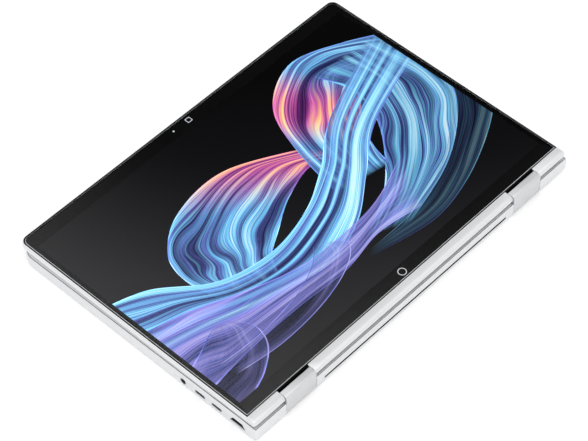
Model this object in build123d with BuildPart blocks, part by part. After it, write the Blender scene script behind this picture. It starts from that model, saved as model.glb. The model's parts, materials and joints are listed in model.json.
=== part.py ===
"""A 14 inch convertible laptop computer, folded right back so that it lies as a tablet.

The frame: X runs along the hinge, +Y from the hinge to the free edge, and +Z up. The origin is
the middle of the footprint on the table. The base lies face down, with its keyboard deck at
z = 0 and its ports on the -X side. The lid lies on the base with its screen up.
All sizes are in millimetres.
"""

import os
from math import cos, pi, radians, sin, tan

from build123d import *

os.makedirs("parts", exist_ok=True)

# Driving dimensions -----------------------------------------------------------------------
WIDTH = 314.2  # along the hinge
DEPTH = 221.2  # hinge to free edge
BASE_T = 12.0
LID_GAP = 1.0  # between base and lid when folded back
LID_T = 5.4
LID_BACK_R = 2.2  # round of the lid's back edges
FRONT_R = 7.5  # plan corner radius of the lid at the free edge
BASE_FRONT_R = 12.0  # and of the base
SLOPE = 35.0  # of the bottom cover's edge, in degrees above the deck plane
EDGE_REAR_Z = 11.9  # where that sloped edge starts, at the hinge
EDGE_FRONT_Z = 8.4  # and at the free edge
REBATE_DROP = 0.9  # floor of the bottom cover's rebate, below the sloped edge
REBATE_W = 0.8  # wall left outside the bottom cover
SEAM_GAP = 0.3
WALL = 1.5
DECK_T = 1.5
SKIN_T = 1.2  # bottom cover plate

# The two hinge axes, both parallel to X
HINGE_Y = -DEPTH / 2 + 3.65
BASE_AXIS_Z = 6.25
LID_AXIS_Z = BASE_T + LID_GAP + LID_T / 2
AXIS_GAP = LID_AXIS_Z - BASE_AXIS_Z
NOTCH_X = 114.07  # middle of each hinge notch
NOTCH_W = 28.85
END_PLAY = 0.3  # each end of a hinge cover
BASE_NOTCH_Y = HINGE_Y + 5.8
LID_NOTCH_Y = HINGE_Y + 4.0
COVER_REAR = 3.6  # from the hinge axes to the cover's rear face
COVER_FRONT = 3.0
COVER_R = 2.4  # rear corners
COVER_FRONT_R = 1.0
COVER_LOW = 5.0  # below the base axis
COVER_WALL = 0.6
SHAFT_R = 0.9
RUNNING = 0.05  # radial clearance of a shaft that turns

# Gears of the hinge: four in line between the two axes
GEAR_R = AXIS_GAP / 6
GEAR_TEETH = 12
GEAR_W = 3.0
TOOTH_SHARE = 0.36  # of the pitch that a tooth fills
TOOTH_OUT = 0.17
TOOTH_IN = 0.30

# Screen stack
POCKET_W = 311.8
POCKET_LOW_Y = -102.15
POCKET_HIGH_Y = 109.47
POCKET_REAR_R = 5.5
POCKET_FRONT_R = 5.5
POCKET_DEPTH = 1.0
RAIL_GAP = 0.3  # dark line between rail and gasket
GASKET_W = 0.95
GLASS_T = 0.85
GLASS_PLAY = 0.1
GLASS_BEVEL = 0.25
ACTIVE_W = 301.6
ACTIVE_LOW_Y = -90.55
ACTIVE_HIGH_Y = 97.95
CAMERA_Y = 103.85
SENSOR_X = -15.0
LID_TOP = BASE_T + LID_GAP + LID_T
LID_LOW = BASE_T + LID_GAP
RAIL_LOW_Z = LID_LOW + 1.6

# Keyboard
KEY_U = 18.9  # one key's pitch along X
KEY_ROW = 18.3  # row pitch
FUNCTION_ROW = 11.5
KEY_GAP = 2.6  # between two caps
KEY_PLAY = 0.35  # cap to frame
KEY_TOP = 0.3  # caps stand this far inside the deck plane
KEY_T = 1.7
KEY_TRAVEL = 1.3
KEYS_REAR_Y = -83.0
KEYS_W = 15 * KEY_U

# Touchpad
PAD_W = 112.0
PAD_D = 68.0
PAD_Y = 61.0
PAD_PLAY = 0.4

# Sockets on the -X side: places along Y and heights above the deck plane
VIDEO_Y, VIDEO_Z = -94.5, 5.3
VIDEO_W, VIDEO_H, VIDEO_SLANT = 14.1, 4.2, 55
DATA_YS, DATA_Z = (-75.75, -60.75), 4.35
DATA_W, DATA_H = 8.95, 3.05
JACK_Y, JACK_Z, JACK_R = -45.5, 4.5, 1.8
JACK_LENGTH = 12.4
LIGHTS = [(-84.2, 5.4), (-53.0, 4.6)]
LIGHT_R = 0.5
MOUTH_PLAY = 0.1  # between a socket's shell and the wall, all round

# The +X side
LOCK_Y, LOCK_Z = -93.0, 5.0
LOCK_W, LOCK_H = 7.0, 3.0
WIDE_Y, WIDE_Z = -70.0, 5.4
WIDE_W, WIDE_H = 13.1, 4.9
POWER_Y, POWER_Z = -38.0, 5.2
POWER_W, POWER_H = 12.0, 2.2
POWER_PLAY = 0.3  # all round the button

# Vents and feet
VENT_W = 184.0
VENT_LOW, VENT_HIGH = 3.8, 5.7
VENT_Y = -DEPTH / 2 + 0.35  # mouth of the grille, just inside the rear wall
GRILLE_BACK_Y = -108.2
SPEAKER_Y = -95.5
SPEAKER_W, SPEAKER_D = 201.0, 8.0
INTAKE_Y = -58.0
INTAKE_PITCH = 7.0
FOOT_T = 0.65
FRONT_FOOT_Y, REAR_FOOT_Y = 93, -80

# Screws of the bottom cover
HEAD_R = 2.0
HEAD_LOW_Z = BASE_T - 0.85
HEAD_T = 0.75
SHANK_R = 0.9
SHANK_LOW_Z = 5.0
BOSS_R = 2.4
BOSS_T = 5.2
SCREWS = [(-140, -90), (0, -89.5), (140, -90), (-140, 88), (0, 101), (140, 88), (-75, -10), (75, -10)]
SIDES = (-1, 1)


def panel(width, low_y, high_y, rear_r, front_r):
    """Adds a plan outline with its own radius at the hinge side and at the free side."""
    with Locations((0, (low_y + high_y) / 2)):
        Rectangle(width, high_y - low_y)
    corners = vertices().sort_by(Axis.Y)
    if front_r:
        fillet(corners[-2:], radius=front_r)
    if rear_r:
        fillet(corners[:2], radius=rear_r)


def box_between(low, high, mode=Mode.ADD):
    """A box from its low corner to its high corner, in the open part."""
    size = [b - a for a, b in zip(low, high)]
    with Locations(tuple((a + b) / 2 for a, b in zip(low, high))):
        Box(*size, mode=mode)


# Outer forms ------------------------------------------------------------------------------
EDGE_FALL = (EDGE_REAR_Z - EDGE_FRONT_Z) / (DEPTH - BASE_FRONT_R)
RISE, RUN = sin(radians(SLOPE)), cos(radians(SLOPE))


# The bottom cover sits in a rebate of the deck cover's wall, with a floor parallel to the edge
rebate_floor = Plane(
    origin=(0, -DEPTH / 2, EDGE_REAR_Z - REBATE_DROP), x_dir=(1, 0, 0), z_dir=(0, EDGE_FALL, 1)
)


with BuildPart() as base_form:
    with BuildSketch():
        panel(WIDTH, -DEPTH / 2, DEPTH / 2, 1.2, BASE_FRONT_R)
    extrude(amount=BASE_T)
    fillet(base_form.faces().sort_by(Axis.Z)[0].edges(), radius=1.0)
    with BuildSketch(Plane.YZ):
        with Locations((1, BASE_T / 2)):
            Rectangle(DEPTH + 2, BASE_T)
        hinge_side = vertices().sort_by(Axis.X)[:2].sort_by(Axis.Y)
        fillet(hinge_side[0], radius=2.5)
        hinge_side = vertices().sort_by(Axis.Y)[-2:].sort_by(Axis.X)
        fillet(hinge_side[0], radius=1.2)
    extrude(amount=WIDTH, both=True, mode=Mode.INTERSECT)
    for side in SIDES:
        side_edge = (side * WIDTH / 2, -DEPTH / 2, EDGE_REAR_Z)
        split(bisect_by=Plane(side_edge, z_dir=(side * RISE, EDGE_FALL * RUN, RUN)), keep=Keep.BOTTOM)
    split(bisect_by=Plane((0, DEPTH / 2, EDGE_FRONT_Z), z_dir=(0, RISE, RUN)), keep=Keep.BOTTOM)

CONE_H = BASE_T - EDGE_FRONT_Z + 0.5
with BuildPart() as corner_cut:
    for side in SIDES:
        middle = (side * (WIDTH / 2 - BASE_FRONT_R), DEPTH / 2 - BASE_FRONT_R)
        with Locations((middle[0] + side * BASE_FRONT_R, middle[1] + BASE_FRONT_R, EDGE_FRONT_Z)):
            Box(2 * BASE_FRONT_R, 2 * BASE_FRONT_R, CONE_H, align=(Align.CENTER, Align.CENTER, Align.MIN))
    for side in SIDES:
        middle = (side * (WIDTH / 2 - BASE_FRONT_R), DEPTH / 2 - BASE_FRONT_R)
        with Locations((*middle, EDGE_FRONT_Z)):
            Cone(
                BASE_FRONT_R, BASE_FRONT_R - CONE_H / tan(radians(SLOPE)), CONE_H,
                align=(Align.CENTER, Align.CENTER, Align.MIN), mode=Mode.SUBTRACT,
            )

with BuildPart() as cover_region:
    with BuildSketch():
        panel(WIDTH - 2 * REBATE_W, -DEPTH / 2 + REBATE_W, DEPTH / 2 - REBATE_W, 1, BASE_FRONT_R - REBATE_W)
    extrude(amount=BASE_T + 1)
    split(bisect_by=rebate_floor, keep=Keep.TOP)

with BuildPart() as cover_space:
    with BuildSketch():
        inset = REBATE_W - SEAM_GAP
        panel(WIDTH - 2 * inset, -DEPTH / 2 + inset, DEPTH / 2 - inset, 1, BASE_FRONT_R - inset)
    extrude(amount=BASE_T + 1)
    split(bisect_by=rebate_floor, keep=Keep.TOP)

with BuildPart() as notch_cut:
    for side in SIDES:
        low = (side * NOTCH_X - NOTCH_W / 2, -DEPTH, -1)
        box_between(low, (low[0] + NOTCH_W, BASE_NOTCH_Y, BASE_T + 1))

with BuildPart() as lid_form:
    with BuildSketch(Plane.YZ):
        with Locations((HINGE_Y, LID_AXIS_Z)):
            Circle(LID_T / 2)
        with Locations(((HINGE_Y + DEPTH / 2) / 2, LID_AXIS_Z)):
            Rectangle(DEPTH / 2 - HINGE_Y, LID_T)
    extrude(amount=WIDTH / 2, both=True)
    with BuildSketch(Plane.XY.offset(LID_LOW)):
        panel(WIDTH, -DEPTH / 2, DEPTH / 2, 0, FRONT_R)
    extrude(amount=LID_T, mode=Mode.INTERSECT)
    back_edges = lid_form.faces().filter_by(Axis.Z).sort_by(Axis.Z)[0].edges()
    fillet(back_edges.sort_by(Axis.Y)[1:], radius=LID_BACK_R)
    for side in SIDES:
        low = (side * NOTCH_X - NOTCH_W / 2, -DEPTH, 0)
        box_between(low, (low[0] + NOTCH_W, LID_NOTCH_Y, LID_TOP + 1), mode=Mode.SUBTRACT)

# Base casing ------------------------------------------------------------------------------
WELL_REAR = KEYS_REAR_Y - 1.0
WELL_FRONT = KEYS_REAR_Y + FUNCTION_ROW + 5 * KEY_ROW - KEY_GAP + 1.0
with BuildPart() as deck_cover:
    add(base_form.part)
    add(corner_cut.part, mode=Mode.SUBTRACT)
    add(cover_space.part, mode=Mode.SUBTRACT)
    with BuildSketch(Plane.XY.offset(DECK_T)):
        panel(WIDTH - 2 * WALL, -DEPTH / 2 + WALL, DEPTH / 2 - WALL, 1, BASE_FRONT_R - WALL)
        for side in SIDES:
            with Locations((side * NOTCH_X, -DEPTH / 2)):
                notch_d = BASE_NOTCH_Y + DEPTH / 2 + WALL
                Rectangle(NOTCH_W + 2 * WALL, 2 * notch_d, mode=Mode.SUBTRACT)
    extrude(amount=BASE_T, mode=Mode.SUBTRACT)
    add(notch_cut.part, mode=Mode.SUBTRACT)
    box_between((-KEYS_W / 2, WELL_REAR, -1), (KEYS_W / 2, WELL_FRONT, DECK_T), mode=Mode.SUBTRACT)
    with BuildSketch():
        with Locations((0, PAD_Y)):
            RectangleRounded(PAD_W + 2 * PAD_PLAY, PAD_D + 2 * PAD_PLAY, 2.4)
    extrude(amount=DECK_T, mode=Mode.SUBTRACT)
    with Locations((0, SPEAKER_Y)):
        Box(SPEAKER_W, SPEAKER_D, 2 * DECK_T, mode=Mode.SUBTRACT)
    slot_end = (VENT_W / 2, GRILLE_BACK_Y + 0.2, VENT_HIGH)
    box_between((-VENT_W / 2, -DEPTH, VENT_LOW), slot_end, mode=Mode.SUBTRACT)
    with BuildSketch(Plane.YZ.offset(-WIDTH / 2 - 1)):
        with Locations((VIDEO_Y, VIDEO_Z)):
            Trapezoid(VIDEO_W + 2 * MOUTH_PLAY, VIDEO_H + 2 * MOUTH_PLAY, VIDEO_SLANT)
        with Locations([(y, DATA_Z) for y in DATA_YS]):
            SlotOverall(DATA_W + 1.5 * MOUTH_PLAY, DATA_H + 1.5 * MOUTH_PLAY)
        with Locations(LIGHTS):
            Circle(LIGHT_R + 0.05)
        with Locations((JACK_Y, JACK_Z)):
            Circle(JACK_R + 0.8)
    extrude(amount=4, mode=Mode.SUBTRACT)
    with BuildSketch(Plane.YZ.offset(WIDTH / 2 - 3)):
        with Locations((LOCK_Y, LOCK_Z)):
            SlotOverall(LOCK_W, LOCK_H)
        with Locations((WIDE_Y, WIDE_Z)):
            RectangleRounded(WIDE_W + 2 * MOUTH_PLAY, WIDE_H + 2 * MOUTH_PLAY, 0.4)
        with Locations((POWER_Y, POWER_Z)):
            SlotOverall(POWER_W + 2 * POWER_PLAY, POWER_H + 2 * POWER_PLAY)
    extrude(amount=5, mode=Mode.SUBTRACT)
    for x, y in SCREWS:
        if abs(y) > 50:
            with BuildSketch(Plane.XY.offset(DECK_T)):
                with Locations((x, y)):
                    Circle(BOSS_R)
                    Circle(SHANK_R + 0.05, mode=Mode.SUBTRACT)
            extrude(amount=BOSS_T)
    with BuildSketch(Plane.YZ.offset(-NOTCH_X + NOTCH_W / 2 - 1)):
        with Locations((HINGE_Y, BASE_AXIS_Z)):
            Circle(SHAFT_R + 0.1)
    extrude(amount=2 * NOTCH_X - NOTCH_W + 2, mode=Mode.SUBTRACT)
deck_cover.part.label = "deck_cover"
export_step(deck_cover.part, "parts/deck_cover.step")

with BuildPart() as bottom_cover:
    add(base_form.part)
    add(corner_cut.part, mode=Mode.SUBTRACT)
    add(cover_region.part, mode=Mode.INTERSECT)
    with BuildSketch():
        panel(WIDTH - 13, -DEPTH / 2 + 6.5, DEPTH / 2 - 6.5, 2, 6)
        for side in SIDES:
            with Locations((side * NOTCH_X, -DEPTH / 2)):
                Rectangle(NOTCH_W + 4, 2 * (BASE_NOTCH_Y + DEPTH / 2 + 2), mode=Mode.SUBTRACT)
    extrude(amount=BASE_T - SKIN_T, mode=Mode.SUBTRACT)
    add(notch_cut.part, mode=Mode.SUBTRACT)
    with BuildSketch(Plane.XY.offset(BASE_T - SKIN_T - 1)):
        with Locations((0, INTAKE_Y)):
            with GridLocations(INTAKE_PITCH, INTAKE_PITCH, 24, 3):
                SlotOverall(5.0, 1.6)
    extrude(amount=4, mode=Mode.SUBTRACT)
    with BuildSketch(Plane.XY.offset(HEAD_LOW_Z - 0.05)):
        with Locations(SCREWS):
            Circle(HEAD_R + 0.2)
    extrude(amount=2, mode=Mode.SUBTRACT)
    with BuildSketch(Plane.XY.offset(BASE_T - 4)):
        with Locations(SCREWS):
            Circle(SHANK_R + 0.2)
    extrude(amount=5, mode=Mode.SUBTRACT)
bottom_cover.part.label = "bottom_cover"
export_step(bottom_cover.part, "parts/bottom_cover.step")

with BuildPart() as bottom_screws:
    with BuildSketch(Plane.XY.offset(HEAD_LOW_Z)):
        with Locations(SCREWS):
            Circle(HEAD_R)
    extrude(amount=HEAD_T)
    with BuildSketch(Plane.XY.offset(SHANK_LOW_Z)):
        with Locations(SCREWS):
            Circle(SHANK_R)
    extrude(amount=HEAD_LOW_Z - SHANK_LOW_Z)
    with BuildSketch(Plane.XY.offset(HEAD_LOW_Z + 0.35)):
        with Locations(SCREWS):
            RegularPolygon(0.9, 6)
    extrude(amount=1, mode=Mode.SUBTRACT)
bottom_screws.part.label = "bottom_screws"
export_step(bottom_screws.part, "parts/bottom_screws.step")

with BuildPart() as front_foot:
    with BuildSketch(Plane.XY.offset(BASE_T)):
        with Locations((0, FRONT_FOOT_Y)):
            SlotOverall(210, 5)
    extrude(amount=FOOT_T)
front_foot.part.label = "front_foot"
export_step(front_foot.part, "parts/front_foot.step")

with BuildPart() as rear_foot:
    with BuildSketch(Plane.XY.offset(BASE_T)):
        with Locations((0, REAR_FOOT_Y)):
            SlotOverall(240, 6)
    extrude(amount=FOOT_T)
rear_foot.part.label = "rear_foot"
export_step(rear_foot.part, "parts/rear_foot.step")

with BuildPart() as exhaust_grille:
    half_w = VENT_W / 2 - 0.1
    box_between((-half_w, VENT_Y, VENT_LOW + 0.05), (half_w, GRILLE_BACK_Y, VENT_HIGH - 0.05))
    with BuildSketch(Plane.XZ.offset(107)):
        with Locations((0, (VENT_LOW + VENT_HIGH) / 2)):
            with GridLocations(4.0, 1, 45, 1):
                Rectangle(3.4, VENT_HIGH - VENT_LOW - 0.7)
    extrude(amount=5, mode=Mode.SUBTRACT)
exhaust_grille.part.label = "exhaust_grille"
export_step(exhaust_grille.part, "parts/exhaust_grille.step")

with BuildPart() as speaker_grille:
    with Locations((0, SPEAKER_Y, 0.65)):
        Box(SPEAKER_W - 0.4, SPEAKER_D - 0.4, 0.8)
    with BuildSketch():
        with Locations((0, SPEAKER_Y)):
            with GridLocations(2.6, 1, 76, 1):
                SlotOverall(5.6, 1.2, rotation=90)
    extrude(amount=2, mode=Mode.SUBTRACT)
speaker_grille.part.label = "speaker_grille"
export_step(speaker_grille.part, "parts/speaker_grille.step")

# Keyboard ---------------------------------------------------------------------------------
# Each row is a list of key widths in units, from the -X side
ROWS = {
    "function_keys": [15 / 14] * 14,
    "number_keys": [1] * 13 + [2],
    "upper_letter_keys": [1.5] + [1] * 12 + [1.5],
    "middle_letter_keys": [1.8] + [1] * 11 + [2.2],
    "lower_letter_keys": [2.3] + [1] * 10 + [2.7],
    "bottom_keys": [1.15] * 4 + [5.0] + [1.2] * 2 + [1] * 3,
}
KEYS = {name: [] for name in [*ROWS, "enter_key", "space_bar", "arrow_keys"]}
HALF_KEY_GAP = 1.4  # between the two half-height arrow keys
FIRST_ARROW = 7
STACKED_ARROWS = 8
row_y = KEYS_REAR_Y
for row, widths in ROWS.items():
    pitch = FUNCTION_ROW if row == "function_keys" else KEY_ROW
    depth = pitch - KEY_GAP
    x = -KEYS_W / 2
    for place, units in enumerate(widths):
        group = row
        if row == "middle_letter_keys" and place == len(widths) - 1:
            group = "enter_key"
        if row == "bottom_keys" and units == 5.0:
            group = "space_bar"
        if row == "bottom_keys" and place >= FIRST_ARROW:
            group = "arrow_keys"
        centre = (x + units * KEY_U / 2, row_y + depth / 2)
        cap_w = units * KEY_U - KEY_GAP
        if row == "bottom_keys" and place == STACKED_ARROWS:
            half = (depth - HALF_KEY_GAP) / 2
            for end in SIDES:
                middle_y = centre[1] + end * (half + HALF_KEY_GAP) / 2
                KEYS[group].append((centre[0], middle_y, cap_w, half))
        else:
            KEYS[group].append((*centre, cap_w, depth))
        x += units * KEY_U
    row_y += pitch

CAP_R = 1.1
for group, keys in KEYS.items():
    with BuildPart() as key_group:
        with BuildSketch(Plane.XY.offset(KEY_TOP)):
            for x, y, cap_w, cap_d in keys:
                with Locations((x, y)):
                    RectangleRounded(cap_w, cap_d, CAP_R)
        extrude(amount=KEY_T)
        chamfer(key_group.faces().group_by(Axis.Z)[0].edges(), length=0.25)
    key_group.part.label = group
    export_step(key_group.part, f"parts/{group}.step")

with BuildPart() as keyboard_frame:
    box_between((-KEYS_W / 2 + 0.3, WELL_REAR + 0.3, 0.55), (KEYS_W / 2 - 0.3, WELL_FRONT - 0.3, DECK_T))
    box_between((-KEYS_W / 2 - 2, WELL_REAR - 2, DECK_T), (KEYS_W / 2 + 2, WELL_FRONT + 2, DECK_T + 0.8))
    with BuildSketch():
        for keys in KEYS.values():
            for x, y, cap_w, cap_d in keys:
                with Locations((x, y)):
                    RectangleRounded(cap_w + 2 * KEY_PLAY, cap_d + 2 * KEY_PLAY, CAP_R + 0.3)
    extrude(amount=4, mode=Mode.SUBTRACT)
keyboard_frame.part.label = "keyboard_frame"
export_step(keyboard_frame.part, "parts/keyboard_frame.step")

PLATE_Z = KEY_TOP + KEY_T + KEY_TRAVEL + 0.3
with BuildPart() as keyboard_plate:
    box_between((-KEYS_W / 2 - 1, WELL_REAR - 1, PLATE_Z), (KEYS_W / 2 + 1, WELL_FRONT + 1, PLATE_Z + 0.6))
keyboard_plate.part.label = "keyboard_plate"
export_step(keyboard_plate.part, "parts/keyboard_plate.step")

with BuildPart() as touchpad:
    with BuildSketch(Plane.XY.offset(0.15)):
        with Locations((0, PAD_Y)):
            RectangleRounded(PAD_W, PAD_D, 2.0)
    extrude(amount=1.2)
    chamfer(touchpad.faces().sort_by(Axis.Z)[0].edges(), length=0.2)
touchpad.part.label = "touchpad"
export_step(touchpad.part, "parts/touchpad.step")

with BuildPart() as touchpad_frame:
    box_between((-62, PAD_Y - 37, 1.9), (62, PAD_Y + 36, 2.7))
touchpad_frame.part.label = "touchpad_frame"
export_step(touchpad_frame.part, "parts/touchpad_frame.step")

# Inside the base --------------------------------------------------------------------------
BOARD_Z = 7.7
with BuildPart() as mainboard:
    box_between((-153, -96, BOARD_Z), (62, -36, BOARD_Z + 1.0))
    for low, high in (((-20, -80), (16, -50)), ((-70, -75), (-50, -60)), ((-110, -70), (-96, -58))):
        box_between((*low, BOARD_Z + 1.0), (*high, BOARD_Z + 2.0))
    with BuildSketch(Plane.XY.offset(BOARD_Z - 1)):
        with Locations([(x, y) for x, y in SCREWS if y < -50]):
            Circle(3.0)
    extrude(amount=4, mode=Mode.SUBTRACT)
mainboard.part.label = "mainboard"
export_step(mainboard.part, "parts/mainboard.step")

with BuildPart() as battery_pack:
    for x in (-74, 0, 74):
        box_between((x - 35, 24, 3.2), (x + 35, 92, 7.0))
    box_between((-109, 21, 3.2), (109, 24, 5.2))
battery_pack.part.label = "battery_pack"
export_step(battery_pack.part, "parts/battery_pack.step")

FAN = (104, -68)
FAN_LOW, FAN_HIGH = 4.6, 10.4
FAN_HALF = 29
FAN_ROOM_R = 27.5
FAN_INLET_R = 17
FAN_PIN_R = 1.5
FAN_WALL = 0.6
FAN_BLADES = 29
with BuildPart() as fan_housing:
    with Locations((*FAN, (FAN_LOW + FAN_HIGH) / 2)):
        Box(2 * FAN_HALF, 2 * FAN_HALF, FAN_HIGH - FAN_LOW)
    with BuildSketch(Plane.XY.offset(FAN_LOW + FAN_WALL)):
        with Locations(FAN):
            Circle(FAN_ROOM_R)
    extrude(amount=FAN_HIGH - FAN_LOW - 2 * FAN_WALL, mode=Mode.SUBTRACT)
    with BuildSketch(Plane.XY.offset(FAN_HIGH - 1)):
        with Locations(FAN):
            Circle(FAN_INLET_R)
    extrude(amount=2, mode=Mode.SUBTRACT)
    with BuildSketch(Plane.XY.offset(FAN_LOW)):
        with Locations(FAN):
            Circle(FAN_PIN_R)
    extrude(amount=4.6)
fan_housing.part.label = "fan_housing"
export_step(fan_housing.part, "parts/fan_housing.step")

with BuildPart() as fan_rotor:
    with BuildSketch(Plane.XY.offset(FAN_LOW + 1.0)):
        with Locations(FAN):
            Circle(11.5)
            with PolarLocations(17.5, FAN_BLADES):
                Rectangle(16, 0.7, rotation=18)
            Circle(FAN_PIN_R + RUNNING, mode=Mode.SUBTRACT)
    extrude(amount=3.6)
fan_rotor.part.label = "fan_rotor"
export_step(fan_rotor.part, "parts/fan_rotor.step")

SINK_X = 22.0  # first fin
SINK_YS = (-107.6, -99.5)
SINK_LOW, SINK_HIGH = 3.4, 9.6
FINS, FIN_PITCH, FIN_T = 35, 2.0, 0.3
SINK_PLATE = 0.4
with BuildPart() as heat_sink:
    end_x = SINK_X + (FINS - 1) * FIN_PITCH + FIN_T
    box_between((SINK_X, SINK_YS[0], SINK_LOW - SINK_PLATE), (end_x, SINK_YS[1], SINK_LOW))
    for i in range(FINS):
        fin_x = SINK_X + i * FIN_PITCH
        box_between((fin_x, SINK_YS[0], SINK_LOW), (fin_x + FIN_T, SINK_YS[1], SINK_HIGH))
    box_between((SINK_X, SINK_YS[0], SINK_HIGH), (end_x, SINK_YS[1], SINK_HIGH + SINK_PLATE))
heat_sink.part.label = "heat_sink"
export_step(heat_sink.part, "parts/heat_sink.step")

with BuildPart() as heat_pipe:
    with BuildSketch(Plane.XY.offset(BOARD_Z + 2.05)):
        with BuildLine():
            FilletPolyline((-2, -65), (20, -65), (34, -97.5), (68, -97.5), radius=8)
        trace(line_width=3.2)
    extrude(amount=1.0)
heat_pipe.part.label = "heat_pipe"
export_step(heat_pipe.part, "parts/heat_pipe.step")

with BuildPart() as ssd_module:
    box_between((-30, -30, 6.5), (50, -8, 7.5))
    box_between((-20, -28, 7.5), (-6, -14, 8.7))
    box_between((6, -28, 7.5), (20, -14, 8.7))
ssd_module.part.label = "ssd_module"
export_step(ssd_module.part, "parts/ssd_module.step")

with BuildPart() as wireless_card:
    box_between((80, -30, 6.5), (110, -8, 7.4))
    box_between((84, -26, 7.4), (100, -12, 8.6))
wireless_card.part.label = "wireless_card"
export_step(wireless_card.part, "parts/wireless_card.step")

with BuildPart() as speakers:
    for side in SIDES:
        box_between((side * 134 - 14, 30, 2.2), (side * 134 + 14, 76, 6.6))
speakers.part.label = "speakers"
export_step(speakers.part, "parts/speakers.step")

# Sockets: each is a metal shell with its tongue
MOUTH_X = -WIDTH / 2 + 0.5
SHELL_T = 0.3
with BuildPart() as video_port:
    with BuildSketch(Plane.YZ.offset(MOUTH_X)):
        with Locations((VIDEO_Y, VIDEO_Z)):
            Trapezoid(VIDEO_W, VIDEO_H, VIDEO_SLANT)
            Trapezoid(VIDEO_W - 0.8, VIDEO_H - 0.7, VIDEO_SLANT, mode=Mode.SUBTRACT)
    extrude(amount=10)
    box_between((MOUTH_X + 9, VIDEO_Y - 5.4, VIDEO_Z - 1.6), (MOUTH_X + 10, VIDEO_Y + 5.4, VIDEO_Z + 1.6))
video_port.part.label = "video_port"
export_step(video_port.part, "parts/video_port.step")

with BuildPart() as video_tongue:
    box_between((MOUTH_X + 1.5, VIDEO_Y - 4.6, VIDEO_Z - 0.5), (MOUTH_X + 9, VIDEO_Y + 4.6, VIDEO_Z + 0.5))
video_tongue.part.label = "video_tongue"
export_step(video_tongue.part, "parts/video_tongue.step")

with BuildPart() as data_ports:
    with BuildSketch(Plane.YZ.offset(MOUTH_X)):
        with Locations([(y, DATA_Z) for y in DATA_YS]):
            SlotOverall(DATA_W, DATA_H)
            SlotOverall(DATA_W - 2 * SHELL_T, DATA_H - 2 * SHELL_T, mode=Mode.SUBTRACT)
    extrude(amount=7)
    for y in DATA_YS:
        box_between((MOUTH_X + 6, y - 3.4, DATA_Z - 1.3), (MOUTH_X + 7, y + 3.4, DATA_Z + 1.3))
data_ports.part.label = "data_ports"
export_step(data_ports.part, "parts/data_ports.step")

with BuildPart() as data_tongues:
    for y in DATA_YS:
        box_between((MOUTH_X + 0.8, y - 3.3, DATA_Z - 0.35), (MOUTH_X + 6, y + 3.3, DATA_Z + 0.35))
data_tongues.part.label = "data_tongues"
export_step(data_tongues.part, "parts/data_tongues.step")

with BuildPart() as audio_jack:
    with BuildSketch(Plane.YZ.offset(-WIDTH / 2 + 0.15)):
        with Locations((JACK_Y, JACK_Z)):
            Circle(JACK_R + 0.75)
            Circle(JACK_R, mode=Mode.SUBTRACT)
    extrude(amount=JACK_LENGTH)
audio_jack.part.label = "audio_jack"
export_step(audio_jack.part, "parts/audio_jack.step")

with BuildPart() as status_lights:
    with BuildSketch(Plane.YZ.offset(-WIDTH / 2 + 0.1)):
        with Locations(LIGHTS):
            Circle(LIGHT_R)
    extrude(amount=3)
status_lights.part.label = "status_lights"
export_step(status_lights.part, "parts/status_lights.step")

WIDE_BACK_X = WIDTH / 2 - 13.5
WIDE_INNER_W, WIDE_INNER_H = WIDE_W - 0.7, WIDE_H - 2 * SHELL_T
with BuildPart() as wide_port:
    with BuildSketch(Plane.YZ.offset(WIDE_BACK_X)):
        with Locations((WIDE_Y, WIDE_Z)):
            Rectangle(WIDE_W, WIDE_H)
            Rectangle(WIDE_INNER_W, WIDE_INNER_H, mode=Mode.SUBTRACT)
    extrude(amount=13)
    with Locations((WIDE_BACK_X + 0.5, WIDE_Y, WIDE_Z)):
        Box(1.0, WIDE_INNER_W, WIDE_INNER_H)
wide_port.part.label = "wide_port"
export_step(wide_port.part, "parts/wide_port.step")

with BuildPart() as wide_tongue:
    with Locations((WIDE_BACK_X + 6.0, WIDE_Y, WIDE_Z + 0.85)):
        Box(10.0, 11.0, 1.5)
wide_tongue.part.label = "wide_tongue"
export_step(wide_tongue.part, "parts/wide_tongue.step")

with BuildPart() as power_button:
    with BuildSketch(Plane.YZ.offset(WIDTH / 2 - 2.6)):
        with Locations((POWER_Y, POWER_Z)):
            SlotOverall(POWER_W, POWER_H)
    extrude(amount=2.5)
power_button.part.label = "power_button"
export_step(power_button.part, "parts/power_button.step")

# Hinges -----------------------------------------------------------------------------------
COVER_HIGH = LID_T / 2
COVER_H = AXIS_GAP + COVER_HIGH + COVER_LOW
COVER_Z = BASE_AXIS_Z - COVER_LOW + COVER_H / 2
COVER_W = NOTCH_W - 2 * END_PLAY
AXES = [(HINGE_Y, BASE_AXIS_Z), (HINGE_Y, LID_AXIS_Z)]
COVER_NAMES = {-1: "hinge_cover_left", 1: "hinge_cover_right"}
LINK_W = 20.0  # along X
LINK_D = 4.6
LINK_POCKET = 1.9  # from the gears' axes to the pocket's wall
IDLER_PIN_R = 0.5


def cover_outline(inset):
    """Adds the hinge cover's section, made smaller all round, in the open YZ sketch."""
    with Locations((HINGE_Y + (COVER_FRONT - COVER_REAR) / 2, COVER_Z)):
        Rectangle(COVER_FRONT + COVER_REAR - 2 * inset, COVER_H - 2 * inset)
    corners = vertices().sort_by(Axis.X)
    fillet(corners[:2], radius=COVER_R - inset)
    fillet(vertices().sort_by(Axis.X)[-2:], radius=COVER_FRONT_R - inset)


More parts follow.
